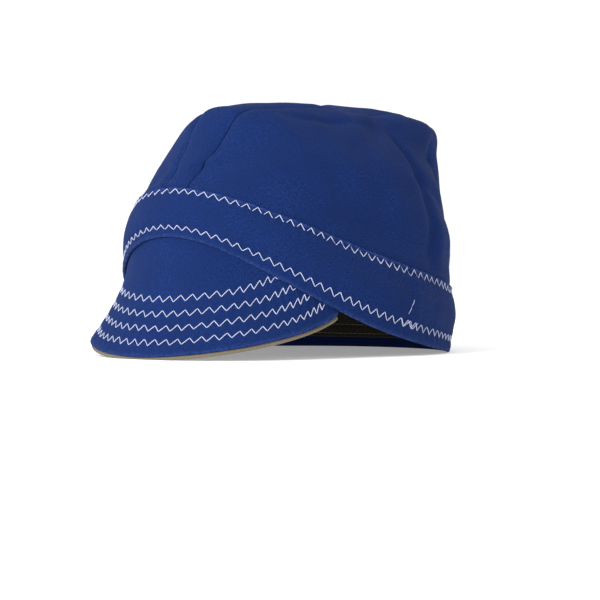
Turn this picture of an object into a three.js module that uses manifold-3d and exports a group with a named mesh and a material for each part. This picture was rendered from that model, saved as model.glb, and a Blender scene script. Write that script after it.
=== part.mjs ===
// A welder's soft cloth cap: a crown of two side panels and a centre strip, a wide band
// round the head, a short curved peak with its lining, and a sweatband inside the band.
// Millimetres, +Z up, the peak towards -Y, the wearer's left towards +X. The cap lies as it
// rests by itself, on the front of the peak's edge and the back of its rim.
import * as THREE from "three";
import { mergeVertices } from "three/addons/utils/BufferGeometryUtils.js";
import Module from "manifold-3d";

const wasm = await Module();
wasm.setup();

// Driving sizes
const rimLength = 200; // outside, front to back, at the rim
const rimWidth = 168; // outside, ear to ear, at the rim
const crownHeight = 130; // from the rim's plane to the top
const bandHeight = 38; // rim to the band's upper edge, at the sides
const rimFrontRise = 15; // how far the rim climbs over the forehead
const rimWave = 7; // how far the rim lies higher at front and back than at the ears
const peakLength = 71; // band edge to peak edge, in the middle
const peakHalfAngle = 68; // where the peak ends, round from the front, in degrees
const peakSlope = 7; // degrees that the peak leans out from straight down, in the middle
const peakEndSlope = 33; // the same at its ends
const peakEndLength = 3; // band edge to peak edge, at its ends
const stripWidth = 60; // centre strip, across the top
const stripFrontWidth = 16; // centre strip, where it meets the band over the peak
const stripBackWidth = 44; // centre strip, where it meets the band behind
const crownCloth = 1.5;
const bandCloth = 1.4;
const peakCloth = 1.5;
const liningCloth = 1.4;
const sweatbandCloth = 1.5;
const seamGap = 0.3; // between pieces that are sewn together
const hemHeight = 7; // bare inside of the band, below the sweatband
const crownLap = 9; // how far the crown reaches down inside the band
const liningReach = 1; // how far the lining shows past the peak's cover
const settle = 1.2; // how far the cloth flattens where it rests

// Shapes of curves, without a size of their own
const peakRoundness = 1.95; // how squarely the peak's edge runs before it turns up
const peakCorner = 0.95; // how sharply it then turns up to its ends
const peakSpread = 1.05; // how far the peak fans out, against the angle at its root
const peakHang = 0.32; // share of the peak's length before it turns outwards
const rootShare = 0.12; // share of the peak's rows that lie inside the band
const stripFrontTaper = 2.4; // how late the strip widens from the front
const stripBackTaper = 1.4; // how late it widens from behind

// Horizontal sections of the cap, from rim to top. rise is a share of crownHeight, length
// and width are shares of the rim's, back is a share of rimLength, lean is the slope up
// towards the back, square is the section's exponent and egg widens the back.
const sections = [
  { rise: 0.0, length: 1.0, width: 1.0, back: 0.0, lean: 0.0, square: 2.1, egg: 0.09 },
  { rise: 0.29, length: 1.01, width: 0.96, back: -0.01, lean: 0.0, square: 2.1, egg: 0.08 },
  { rise: 0.62, length: 0.92, width: 0.86, back: 0.0, lean: 0.06, square: 2.2, egg: 0.06 },
  { rise: 0.84, length: 0.84, width: 0.62, back: 0.01, lean: 0.1, square: 2.4, egg: 0.12 },
  { rise: 0.95, length: 0.67, width: 0.45, back: 0.03, lean: 0.2, square: 2.5, egg: 0.22 },
  { rise: 1.0, length: 0.0, width: 0.0, back: 0.03, lean: 0.26, square: 2.5, egg: 0.1 },
];
const bandLevel = 1; // the section at the band's upper edge
const topLevel = sections.length - 1;

// Folds and dents. angle is round from the front, level is on the sections' scale, reach is
// the half length in degrees, breadth the half breadth in levels, slant the levels climbed
// per degree, and height the share of crownHeight that it stands out.
const folds = [
  { angle: 78, level: 0.5, reach: 62, breadth: 0.3, slant: 0.0, height: 0.02 },
  { angle: 95, level: 0.95, reach: 48, breadth: 0.14, slant: 0.0, height: -0.016 },
  { angle: 112, level: 1.5, reach: 30, breadth: 0.28, slant: -0.004, height: 0.022 },
  { angle: 132, level: 2.6, reach: 14, breadth: 0.5, slant: 0.0, height: -0.02 },
  { angle: 30, level: 2.2, reach: 12, breadth: 0.5, slant: 0.01, height: -0.012 },
  { angle: -85, level: 0.5, reach: 60, breadth: 0.3, slant: 0.0, height: 0.02 },
  { angle: -100, level: 0.95, reach: 46, breadth: 0.14, slant: 0.0, height: -0.014 },
  { angle: -125, level: 1.6, reach: 28, breadth: 0.3, slant: 0.004, height: 0.02 },
  { angle: -35, level: 2.4, reach: 14, breadth: 0.5, slant: 0.0, height: -0.012 },
  { angle: 180, level: 0.5, reach: 34, breadth: 0.34, slant: 0.0, height: 0.014 },
];

// Mesh steps
const roundSteps = 64;
const crownRowHeight = 0.29; // in levels, above the band
const peakSteps = 30;
const peakRows = 8;
const sectorSteps = 24;
const sectorRows = 4;

const radians = THREE.MathUtils.degToRad;

// One column of the section table at a level between rows, on a smooth monotone curve.
function column(name, level) {
  const at = THREE.MathUtils.clamp(level, 0, topLevel);
  const row = Math.min(Math.floor(at), topLevel - 1);
  const t = at - row;
  const value = (i) => sections[i][name];
  const slope = (i) => {
    if (i === 0) return value(1) - value(0);
    if (i === topLevel) return value(i) - value(i - 1);
    const before = value(i) - value(i - 1);
    const after = value(i + 1) - value(i);
    return before * after <= 0 ? 0 : (2 * before * after) / (before + after);
  };
  const a = value(row);
  const b = value(row + 1);
  const t2 = t * t;
  const t3 = t2 * t;
  return (
    a * (2 * t3 - 3 * t2 + 1) +
    slope(row) * (t3 - 2 * t2 + t) +
    b * (3 * t2 - 2 * t3) +
    slope(row + 1) * (t3 - t2)
  );
}

// The height of a level above the rim: the table's share, with the band at its own height.
function heightAt(level) {
  const share = column("rise", level);
  const bandShare = sections[bandLevel].rise;
  if (share <= bandShare) return (bandHeight * share) / bandShare;
  return bandHeight + ((crownHeight - bandHeight) * (share - bandShare)) / (1 - bandShare);
}

// How far the folds lift the cloth at a place on the cap.
function foldHeight(angle, level) {
  let lift = 0;
  for (const fold of folds) {
    let turn = angle - fold.angle;
    turn -= 360 * Math.round(turn / 360);
    const along = turn / fold.reach;
    const across = (level - fold.level - fold.slant * turn) / fold.breadth;
    lift += fold.height * crownHeight * Math.exp(-along * along - across * across);
  }
  return lift;
}

// The cap's form before folds: a point at an angle round from the front and a level.
function formPoint(angle, level) {
  const c = -Math.cos(radians(angle));
  const s = Math.sin(radians(angle));
  const square = column("square", level);
  const r = (Math.abs(c) ** square + Math.abs(s) ** square) ** (-1 / square);
  const along = 0.5 * rimLength * column("length", level) * r * c;
  const across = 0.5 * rimWidth * column("width", level) * r * s;
  const fade = Math.max(0, 1 - level / 2);
  const wave = rimWave * Math.cos(radians(2 * angle)) + rimFrontRise * Math.max(-c, 0) ** 2;
  return new THREE.Vector3(
    across * (1 + column("egg", level) * r * c),
    rimLength * column("back", level) + along,
    heightAt(level) + column("lean", level) * along + wave * fade,
  );
}

// The outward normal of the form, from its slopes.
function formNormal(angle, level) {
  const low = Math.max(level - 0.02, 0);
  const high = Math.min(level + 0.02, topLevel - 0.02);
  const around = formPoint(angle + 1, high).sub(formPoint(angle - 1, high));
  const up = formPoint(angle, Math.max(high, low + 0.02)).sub(formPoint(angle, low));
  return around.cross(up).normalize();
}

// A point of the cap's cloth: the form with its folds, moved out by an offset.
function capPoint(angle, level, offset) {
  const isTop = level > topLevel - 0.02;
  const topNormal = new THREE.Vector3(0, -column("lean", topLevel), 1).normalize();
  const out = isTop ? topNormal : formNormal(angle, level);
  return formPoint(angle, level).addScaledVector(out, offset + foldHeight(angle, level));
}

// A closed wall between two grids of points, rows going up and columns going round.
function wall(outer, inner, isRing) {
  const points = [];
  const triangle = (a, b, c) => {
    const flat = a.distanceTo(b) < 1e-4 || b.distanceTo(c) < 1e-4 || c.distanceTo(a) < 1e-4;
    if (!flat) points.push(a, b, c);
  };
  const quad = (a, b, c, d) => {
    triangle(a, b, c);
    triangle(a, c, d);
  };
  const rows = outer.length - 1;
  const columns = outer[0].length - (isRing ? 0 : 1);
  const next = (c) => (isRing ? (c + 1) % outer[0].length : c + 1);
  for (let c = 0; c < columns; c++) {
    const d = next(c);
    for (let r = 0; r < rows; r++) {
      quad(outer[r][c], outer[r][d], outer[r + 1][d], outer[r + 1][c]);
      quad(inner[r][d], inner[r][c], inner[r + 1][c], inner[r + 1][d]);
    }
    quad(inner[0][c], inner[0][d], outer[0][d], outer[0][c]);
    quad(outer[rows][c], outer[rows][d], inner[rows][d], inner[rows][c]);
  }
  if (!isRing) {
    const last = outer[0].length - 1;
    for (let r = 0; r < rows; r++) {
      quad(inner[r][0], outer[r][0], outer[r + 1][0], inner[r + 1][0]);
      quad(outer[r][last], inner[r][last], inner[r + 1][last], outer[r + 1][last]);
    }
  }
  return new THREE.BufferGeometry().setFromPoints(points);
}

// A ring of cloth through rows at the given levels, between its two offsets.
function ring(levels, outerOffset, innerOffset) {
  const grid = (offset) =>
    levels.map((level) =>
      Array.from({ length: roundSteps }, (_, c) => capPoint((360 * c) / roundSteps, level, offset)),
    );
  return wall(grid(outerOffset), grid(innerOffset), true);
}

// The level that lies a height above the rim, in the band.
const levelAbove = (height) => bandLevel * (height / bandHeight);

// Rows that the layers share where they lie on each other, so that they stay parallel.
const sweatbandFoot = levelAbove(hemHeight);
const crownFoot = levelAbove(bandHeight - crownLap);
const sweatbandTop = crownFoot - levelAbove(seamGap);
const sharedRows = [0, 1 / 3, 2 / 3].map((t) => sweatbandFoot + (sweatbandTop - sweatbandFoot) * t);
const lapRows = [crownFoot, (crownFoot + bandLevel) / 2, bandLevel];
const crownRowCount = Math.round((topLevel - bandLevel) / crownRowHeight);
const crownRows = Array.from(
  { length: crownRowCount },
  (_, i) => bandLevel + ((i + 1) * (topLevel - bandLevel)) / crownRowCount,
);

// How far the peak reaches below the band, where share runs from -1 to 1 round the front.
function peakDrop(share) {
  const fullness = Math.max(1 - Math.abs(share) ** peakRoundness, 0) ** peakCorner;
  return peakEndLength + (peakLength - peakEndLength) * fullness;
}

// A point of the peak: t runs from 0 at the root, inside the band, to 1 at the edge. The
// peak leaves the band straight down and then flares out.
const peakRoot = levelAbove(hemHeight - 2 * seamGap);
function peakForm(share, t) {
  const angle = share * peakHalfAngle;
  if (t <= rootShare) return capPoint(angle, peakRoot * (1 - t / rootShare), 0);
  const start = capPoint(angle, 0, 0);
  const down = start.clone().sub(capPoint(angle, peakRoot, 0)).normalize();
  const drop = peakDrop(share);
  const slope = radians(peakSlope + (peakEndSlope - peakSlope) * share * share);
  const aim = radians(angle * peakSpread);
  const forward = new THREE.Vector3(Math.sin(aim), -Math.cos(aim), 0);
  const end = start.clone().addScaledVector(forward, drop * Math.sin(slope));
  end.z -= drop * Math.cos(slope);
  const bend = start.clone().addScaledVector(down, peakHang * drop);
  const s = (t - rootShare) / (1 - rootShare);
  return start
    .multiplyScalar((1 - s) ** 2)
    .addScaledVector(bend, 2 * s * (1 - s))
    .addScaledVector(end, s * s);
}

// A point of one of the peak's faces, off to the side of its form.
function peakPoint(share, t, offset) {
  const step = 0.02;
  const at = THREE.MathUtils.clamp(share, -1 + step, 1 - step);
  const low = Math.min(t + step, 1);
  const around = peakForm(at + step, t).sub(peakForm(at - step, t));
  const up = peakForm(at, Math.max(t - step, 0)).sub(peakForm(at, low));
  return peakForm(share, t).addScaledVector(around.cross(up).normalize(), offset);
}

// One layer of the peak, from its edge, cut back by shortBy, up to its root.
function peakLayer(outerOffset, innerOffset, shortBy) {
  const grid = (offset) =>
    Array.from({ length: peakRows + 1 }, (_, r) =>
      Array.from({ length: peakSteps + 1 }, (_, c) => {
        const share = Math.sin(radians(90 * ((2 * c) / peakSteps - 1)));
        const edge = 1 - shortBy / peakDrop(share);
        return peakPoint(share, edge * (1 - r / peakRows), offset);
      }),
    );
  return wall(grid(outerOffset), grid(innerOffset), false);
}

// The centre strip's width at a turn from the front, over the top, to the back.
function stripWidthAt(turn) {
  const isFront = turn < 90;
  const endWidth = isFront ? stripFrontWidth : stripBackWidth;
  const share = Math.sin(radians(turn)) ** (isFront ? stripFrontTaper : stripBackTaper);
  return endWidth + (stripWidth - endWidth) * share;
}

// A solid that cuts the centre strip out of the crown: a fan of sections round an axis from
// ear to ear, each as wide as the strip is there and a little more on each side.
function stripSector(extra) {
  const centre = new THREE.Vector3(0, 0, bandHeight - crownLap);
  const corners = (side, radius) =>
    Array.from({ length: sectorSteps + 1 }, (_, i) => {
      const turn = (180 * i) / sectorSteps;
      const y = -radius * Math.cos(radians(turn));
      const z = radius * Math.sin(radians(turn));
      const x = side * (0.5 * stripWidthAt(turn) + extra);
      return new THREE.Vector3(x, y, z).add(centre);
    });
  const near = 0.25 * rimLength;
  const far = rimLength;
  const radii = Array.from({ length: sectorRows + 1 }, (_, i) => near + ((far - near) * i) / sectorRows);
  const left = radii.map((radius) => corners(1, radius));
  const right = radii.map((radius) => corners(-1, radius));
  return wall(left, right, false);
}

// A box from its low and high corners.
function block(low, high) {
  const size = new THREE.Vector3().subVectors(high, low);
  const middle = new THREE.Vector3().addVectors(low, high).multiplyScalar(0.5);
  return new THREE.BoxGeometry(size.x, size.y, size.z).translate(middle.x, middle.y, middle.z);
}

// Geometry to solid and back.
function solid(geometry) {
  const plain = new THREE.BufferGeometry().setAttribute("position", geometry.getAttribute("position"));
  if (geometry.index) plain.setIndex(geometry.index);
  const merged = mergeVertices(plain, 1e-3);
  const mesh = new wasm.Mesh({
    numProp: 3,
    vertProperties: merged.attributes.position.array,
    triVerts: new Uint32Array(merged.index.array),
  });
  return new wasm.Manifold(mesh);
}
function geometryOf(made) {
  const mesh = made.getMesh();
  const positions = new Float32Array(mesh.numVert * 3);
  for (let i = 0; i < mesh.numVert; i++) {
    positions.set(mesh.vertProperties.subarray(i * mesh.numProp, i * mesh.numProp + 3), i * 3);
  }
  return new THREE.BufferGeometry()
    .setAttribute("position", new THREE.BufferAttribute(positions, 3))
    .setIndex(new THREE.BufferAttribute(mesh.triVerts, 1));
}

// The pieces in the band's own frame
const crownShell = solid(ring([...lapRows, ...crownRows], 0, -crownCloth));
const big = 3 * rimLength;
const leftHalf = solid(block(new THREE.Vector3(0, -big, -big), new THREE.Vector3(big, big, big)));
const sides = crownShell.subtract(solid(stripSector(seamGap / 2)));
const pieces = {
  crown_strip: crownShell.intersect(solid(stripSector(-seamGap / 2))),
  crown_side_left: sides.intersect(leftHalf),
  crown_side_right: sides.subtract(leftHalf),
  band: solid(ring([0, ...sharedRows, sweatbandTop, ...lapRows], seamGap + bandCloth, seamGap)),
  sweatband: solid(ring([...sharedRows, sweatbandTop], 0, -sweatbandCloth)),
  peak_cover: solid(peakLayer(0, -peakCloth, liningReach)),
  peak_lining: solid(peakLayer(-peakCloth - seamGap, -peakCloth - seamGap - liningCloth, 0)),
};

// The lean at which the peak's edge and the back of the rim touch the floor together
function lowest(lean, isFront) {
  const turn = new THREE.Matrix4().makeRotationX(-lean);
  let low = Infinity;
  for (const made of Object.values(pieces)) {
    const mesh = made.getMesh();
    for (let i = 0; i < mesh.numVert; i++) {
      const p = new THREE.Vector3().fromArray(mesh.vertProperties, i * mesh.numProp);
      if (p.y < 0 === isFront) low = Math.min(low, p.applyMatrix4(turn).z);
    }
  }
  return low;
}
let flatter = 0;
let steeper = Math.PI / 4;
for (let i = 0; i < 30; i++) {
  const middle = (flatter + steeper) / 2;
  if (lowest(middle, true) < lowest(middle, false)) flatter = middle;
  else steeper = middle;
}
const lean = (flatter + steeper) / 2;
const floor = lowest(lean, true) + settle;

// Each piece laid on the floor and cut flat where it meets it
const turn = new THREE.Matrix4().makeRotationX(-lean);
const lay = new THREE.Matrix4().makeTranslation(0, 0, -floor).multiply(turn);
const underFloor = solid(block(new THREE.Vector3(-big, -big, -big), new THREE.Vector3(big, big, 0)));
const laid = {};
const reach = new THREE.Box3();
for (const [name, made] of Object.entries(pieces)) {
  const onFloor = solid(geometryOf(made).applyMatrix4(lay)).subtract(underFloor);
  laid[name] = geometryOf(onFloor);
  laid[name].computeBoundingBox();
  reach.union(laid[name].boundingBox);
}
const centre = reach.getCenter(new THREE.Vector3());

const blue = 0x14307e;
const khaki = 0x7a6a50;
const umber = 0x3b3022;
const colourOf = { peak_lining: khaki, sweatband: umber };

const cap = new THREE.Group();
for (const [name, geometry] of Object.entries(laid)) {
  const cloth = new THREE.MeshStandardMaterial({ color: colourOf[name] ?? blue, roughness: 0.9, metalness: 0 });
  const mesh = new THREE.Mesh(geometry, cloth);
  mesh.name = name;
  mesh.position.set(-centre.x, -centre.y, 0);
  cap.add(mesh);
}

export default cap;
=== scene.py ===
"""A welder's soft cap of royal blue cotton twill: crown, wide band, khaki-lined peak and zigzag stitching."""

import math

import bmesh
import bpy
import numpy as np
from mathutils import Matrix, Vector
from mathutils.bvhtree import BVHTree


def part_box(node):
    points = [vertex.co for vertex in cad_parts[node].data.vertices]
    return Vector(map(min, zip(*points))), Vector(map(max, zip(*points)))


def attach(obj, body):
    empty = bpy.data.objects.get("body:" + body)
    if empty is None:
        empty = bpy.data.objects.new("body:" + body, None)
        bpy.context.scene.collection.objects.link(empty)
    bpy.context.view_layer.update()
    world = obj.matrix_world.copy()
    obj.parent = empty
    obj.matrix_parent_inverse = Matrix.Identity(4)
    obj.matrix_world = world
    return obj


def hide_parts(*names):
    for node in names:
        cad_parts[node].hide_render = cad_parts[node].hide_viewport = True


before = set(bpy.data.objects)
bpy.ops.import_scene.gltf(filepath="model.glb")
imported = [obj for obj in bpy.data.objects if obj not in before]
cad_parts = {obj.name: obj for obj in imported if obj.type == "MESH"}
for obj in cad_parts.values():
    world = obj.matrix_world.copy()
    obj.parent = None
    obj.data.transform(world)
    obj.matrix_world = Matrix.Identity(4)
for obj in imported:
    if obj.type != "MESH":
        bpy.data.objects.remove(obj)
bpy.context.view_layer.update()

# Sizes of the cap, in metres, and angles in degrees. They are the ones that the frame was made with.
RIM_LENGTH = 0.200
RIM_WIDTH = 0.168
CROWN_HEIGHT = 0.130
BAND_HEIGHT = 0.038
RIM_FRONT_RISE = 0.015
RIM_WAVE = 0.007
PEAK_LENGTH = 0.071
PEAK_HALF_ANGLE = 68
PEAK_SLOPE = 7
PEAK_END_SLOPE = 33
PEAK_END_LENGTH = 0.003
STRIP_WIDTH = 0.060
STRIP_FRONT_WIDTH = 0.016
STRIP_BACK_WIDTH = 0.044
CROWN_CLOTH = 0.0015
BAND_CLOTH = 0.0014
PEAK_CLOTH = 0.0015
LINING_CLOTH = 0.0014
SWEATBAND_CLOTH = 0.0015
SEAM_GAP = 0.0003
HEM_HEIGHT = 0.007
CROWN_LAP = 0.009
LINING_REACH = 0.001
SETTLE = 0.0012

# Shapes of curves, without a size of their own
PEAK_ROUNDNESS = 1.95
PEAK_CORNER = 0.95
PEAK_SPREAD = 1.05
PEAK_HANG = 0.32
ROOT_SHARE = 0.12
STRIP_FRONT_TAPER = 2.4
STRIP_BACK_TAPER = 1.4

# Horizontal sections from rim to top: rise as a share of CROWN_HEIGHT, length and width as shares of
# the rim's, back as a share of RIM_LENGTH, lean as a slope up towards the back, square as the
# section's exponent, and egg, which widens the back.
SECTIONS = [
    {"rise": 0.0, "length": 1.0, "width": 1.0, "back": 0.0, "lean": 0.0, "square": 2.1, "egg": 0.09},
    {"rise": 0.29, "length": 1.01, "width": 0.96, "back": -0.01, "lean": 0.0, "square": 2.1, "egg": 0.08},
    {"rise": 0.62, "length": 0.92, "width": 0.86, "back": 0.0, "lean": 0.06, "square": 2.2, "egg": 0.06},
    {"rise": 0.84, "length": 0.84, "width": 0.62, "back": 0.01, "lean": 0.1, "square": 2.4, "egg": 0.12},
    {"rise": 0.95, "length": 0.67, "width": 0.45, "back": 0.03, "lean": 0.2, "square": 2.5, "egg": 0.22},
    {"rise": 1.0, "length": 0.0, "width": 0.0, "back": 0.03, "lean": 0.26, "square": 2.5, "egg": 0.1},
]
TOP = len(SECTIONS) - 1

# Main folds: angle round from the front, level on the sections' scale, reach in degrees, breadth in
# levels, slant in levels per degree, and height as a share of CROWN_HEIGHT.
FOLDS = [
    {"angle": 78, "level": 0.5, "reach": 62, "breadth": 0.3, "slant": 0.0, "height": 0.02},
    {"angle": 95, "level": 0.95, "reach": 48, "breadth": 0.14, "slant": 0.0, "height": -0.016},
    {"angle": 112, "level": 1.5, "reach": 30, "breadth": 0.28, "slant": -0.004, "height": 0.022},
    {"angle": 132, "level": 2.6, "reach": 14, "breadth": 0.5, "slant": 0.0, "height": -0.02},
    {"angle": 30, "level": 2.2, "reach": 12, "breadth": 0.5, "slant": 0.01, "height": -0.012},
    {"angle": -85, "level": 0.5, "reach": 60, "breadth": 0.3, "slant": 0.0, "height": 0.02},
    {"angle": -100, "level": 0.95, "reach": 46, "breadth": 0.14, "slant": 0.0, "height": -0.014},
    {"angle": -125, "level": 1.6, "reach": 28, "breadth": 0.3, "slant": 0.004, "height": 0.02},
    {"angle": -35, "level": 2.4, "reach": 14, "breadth": 0.5, "slant": 0.0, "height": -0.012},
    {"angle": 180, "level": 0.5, "reach": 34, "breadth": 0.34, "slant": 0.0, "height": 0.014},
]

# Small creases of the cloth, in the same columns. The first is the slack of the crown at the left back.
CREASES = [
    {"angle": 136, "level": 2.1, "reach": 26, "breadth": 1.0, "slant": 0.0, "height": -0.02},
    {"angle": 14, "level": 1.6, "reach": 12, "breadth": 0.1, "slant": 0.014, "height": -0.008},
    {"angle": 17, "level": 1.85, "reach": 12, "breadth": 0.13, "slant": 0.014, "height": 0.007},
    {"angle": 34, "level": 1.3, "reach": 14, "breadth": 0.1, "slant": -0.006, "height": -0.009},
    {"angle": 66, "level": 1.35, "reach": 24, "breadth": 0.14, "slant": -0.004, "height": -0.012},
    {"angle": 84, "level": 1.8, "reach": 20, "breadth": 0.2, "slant": -0.008, "height": 0.005},
    {"angle": 112, "level": 2.1, "reach": 16, "breadth": 0.15, "slant": -0.014, "height": -0.016},
    {"angle": 122, "level": 2.9, "reach": 14, "breadth": 0.16, "slant": 0.012, "height": -0.018},
    {"angle": 118, "level": 3.4, "reach": 12, "breadth": 0.2, "slant": 0.012, "height": 0.012},
    {"angle": 142, "level": 1.7, "reach": 7, "breadth": 0.4, "slant": 0.04, "height": 0.008},
    {"angle": 149, "level": 1.9, "reach": 5, "breadth": 0.5, "slant": 0.05, "height": -0.014},
    {"angle": 158, "level": 2.4, "reach": 6, "breadth": 0.5, "slant": 0.02, "height": 0.012},
    {"angle": 60, "level": 3.2, "reach": 22, "breadth": 0.18, "slant": 0.006, "height": -0.01},
    {"angle": 88, "level": 0.74, "reach": 34, "breadth": 0.1, "slant": 0.001, "height": -0.009},
    {"angle": 60, "level": 0.42, "reach": 30, "breadth": 0.14, "slant": 0.003, "height": 0.006},
    {"angle": 122, "level": 0.42, "reach": 20, "breadth": 0.12, "slant": -0.004, "height": -0.008},
    {"angle": -20, "level": 1.6, "reach": 12, "breadth": 0.12, "slant": -0.014, "height": -0.012},
    {"angle": -70, "level": 1.4, "reach": 24, "breadth": 0.14, "slant": 0.004, "height": -0.012},
    {"angle": -92, "level": 2.0, "reach": 20, "breadth": 0.2, "slant": 0.01, "height": 0.01},
    {"angle": -118, "level": 2.6, "reach": 16, "breadth": 0.18, "slant": 0.012, "height": -0.017},
    {"angle": -150, "level": 1.9, "reach": 8, "breadth": 0.5, "slant": -0.03, "height": 0.013},
    {"angle": -60, "level": 3.1, "reach": 20, "breadth": 0.2, "slant": -0.006, "height": -0.01},
    {"angle": -60, "level": 0.36, "reach": 28, "breadth": 0.1, "slant": -0.003, "height": -0.005},
]

# Sharper creases that run from one place to another: angle and level at both ends, width in degrees,
# and height as a share of CROWN_HEIGHT
PINCHES = [
    {"from": (98, 3.2), "to": (110, 1.15), "width": 2.8, "height": -0.016},
    {"from": (103, 3.2), "to": (116, 1.15), "width": 4.0, "height": 0.006},
    {"from": (92, 4.1), "to": (80, 2.5), "width": 5.5, "height": -0.010},
    {"from": (84, 4.1), "to": (70, 2.5), "width": 6.5, "height": 0.009},
    {"from": (128, 3.4), "to": (131, 2.2), "width": 3.0, "height": -0.012},
    {"from": (-104, 3.1), "to": (-112, 1.3), "width": 3.0, "height": -0.012},
    {"from": (-99, 3.1), "to": (-106, 1.3), "width": 4.0, "height": 0.012},
    {"from": (-80, 3.8), "to": (-70, 2.9), "width": 3.5, "height": -0.011},
    {"from": (172, 2.6), "to": (176, 1.2), "width": 2.5, "height": -0.009},
]

# Stitching
THREAD = 0.00024  # radius
HALF_PITCH = 0.0031  # from one needle hole to the next, along the row
ZIGZAG_WIDTH = 0.0037
BAND_ROWS = (0.0076, BAND_HEIGHT - 0.0027)  # heights of the rows' middles over the rim
PEAK_ROWS = (0.0100, 0.0186, 0.0272, 0.0360)  # distances of the rows' middles from the peak's edge
SWEATBAND_ROWS = (0.0095, 0.0155, 0.0255)
PUCKER_PITCH = 0.0062
THREAD_SIDES = 6
STITCH_SAMPLES = 6
STITCH_RISE = 1.7  # how far a stitch stands up between its holes, and
STITCH_SINK = 0.75  # how deep its ends go, in thread radii
SCATTER_ALONG = 0.00012
SCATTER_ACROSS = 0.00008
PEAK_SCATTER_ALONG = 0.0001
PEAK_SCATTER_ACROSS = 0.0012  # as a share of the peak's depth
CROWDING = 0.16  # how much closer the peak's stitches come towards the ends of a row

# The join of the band's ends, with angles and turns in degrees: a groove, and a ridge beside it
JOIN_ANGLE = 95
LAP_TURN = 3  # where the second pass of the hem's zigzag begins, before the join
LAP_SHARE = 0.022  # how far it goes, as a share of the way round
JOIN_SLANT = 60  # degrees per metre of height
JOIN_GROOVE = {"turn": 0.0, "width": 0.9, "height": -0.0005}
JOIN_RIDGE = {"turn": 3.0, "width": 2.0, "height": 0.0004}

# Relief of the crown's cloth
SEAM_DEPTH = 0.0011
SEAM_BREADTH = 0.0034
SEAM_TURN_IN = 0.0009
SEAM_PUCKER = {"wavelength": 0.016, "height": 0.0004, "seed": 5}
SEAM_PUCKER_REACH = 0.009
CROWN_WAVES = {"wavelength": 0.055, "height": 0.0011, "seed": 3}
CROWN_RIPPLES = {"wavelength": 0.024, "height": 0.00045, "seed": 4}
CROWN_SLACK = 0.0018
STRIP_FULLNESS = 0.0016

# Relief of the band's cloth
BAND_PUFF = 0.0010
BAND_WAVES = {"wavelength": 0.045, "height": 0.0003, "seed": 9}
BAND_ROW_DEPTH = 0.0009
BAND_ROW_BREADTH = 0.0026
BAND_PUCKER = 0.00024
BAND_PUCKER_REACH = 0.0055
SWEATBAND_ROW_DEPTH = 0.0004
SWEATBAND_ROW_BREADTH = 0.0012

# Relief of the peak's cloth
PEAK_WAVES = {"wavelength": 0.05, "height": 0.0004, "seed": 12}
PEAK_ROW_DEPTH = 0.00045
PEAK_ROW_BREADTH = 0.0016
PEAK_RIDGE = 0.00016
PEAK_SEWN_FROM = (0.002, 0.005)  # distances from the edge between which the ridges begin
PEAK_SEWN_TO = (0.025, 0.031)  # and between which they end
UNDERSIDE_SHARE = 1.2  # how much of the relief shows below
EDGE_BULGE = 0.00022
EDGE_BULGE_PLACE = 0.0007
EDGE_BULGE_BREADTH = 0.0009
EDGE_BEAD = 0.0001
EDGE_BEAD_PITCH = 0.0021


def column(name, level):
    """One column of the section table at a level between rows, on a smooth monotone curve."""
    values = np.array([row[name] for row in SECTIONS])
    steps = np.diff(values)
    slopes = np.zeros(TOP + 1)
    slopes[0] = steps[0]
    slopes[-1] = steps[-1]
    for i in range(1, TOP):
        product = steps[i - 1] * steps[i]
        slopes[i] = 2 * product / (steps[i - 1] + steps[i]) if product > 0 else 0
    at = np.clip(level, 0, TOP)
    row = np.minimum(np.floor(at).astype(int), TOP - 1)
    t = at - row
    rising = values[row] * (2 * t**3 - 3 * t**2 + 1) + values[row + 1] * (3 * t**2 - 2 * t**3)
    return rising + slopes[row] * (t**3 - 2 * t**2 + t) + slopes[row + 1] * (t**3 - t**2)


def height_at(level):
    share = column("rise", level)
    band_share = SECTIONS[1]["rise"]
    above = BAND_HEIGHT + (CROWN_HEIGHT - BAND_HEIGHT) * (share - band_share) / (1 - band_share)
    return np.where(share <= band_share, BAND_HEIGHT * share / band_share, above)


def lift_of(folds, angle, level):
    """How far a table of folds lifts the cloth."""
    lift = np.zeros(np.broadcast(angle, level).shape)
    for fold in folds:
        turn = angle - fold["angle"]
        turn = turn - 360 * np.round(turn / 360)
        along = turn / fold["reach"]
        across = (level - fold["level"] - fold["slant"] * turn) / fold["breadth"]
        lift += fold["height"] * CROWN_HEIGHT * np.exp(-(along**2) - across**2)
    return lift


def form(angle, level):
    """The cap's form before folds, in the band's own frame."""
    c = -np.cos(np.radians(angle))
    s = np.sin(np.radians(angle))
    square = column("square", level)
    r = (np.abs(c) ** square + np.abs(s) ** square) ** (-1 / square)
    along = 0.5 * RIM_LENGTH * column("length", level) * r * c
    across = 0.5 * RIM_WIDTH * column("width", level) * r * s
    fade = np.maximum(0, 1 - level / 2)
    wave = RIM_WAVE * np.cos(np.radians(2 * angle)) + RIM_FRONT_RISE * np.maximum(-c, 0) ** 2
    x = across * (1 + column("egg", level) * r * c)
    y = RIM_LENGTH * column("back", level) + along
    z = height_at(level) + column("lean", level) * along + wave * fade
    return np.stack([x, y, z], -1)


def unit(v):
    return v / np.maximum(np.linalg.norm(v, axis=-1, keepdims=True), 1e-12)


def form_normal(angle, level):
    low = np.maximum(level - 0.02, 0)
    high = np.minimum(level + 0.02, TOP - 0.02)
    around = form(angle + 1, high) - form(angle - 1, high)
    up = form(angle, np.maximum(high, low + 0.02)) - form(angle, low)
    return unit(np.cross(around, up))


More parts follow.
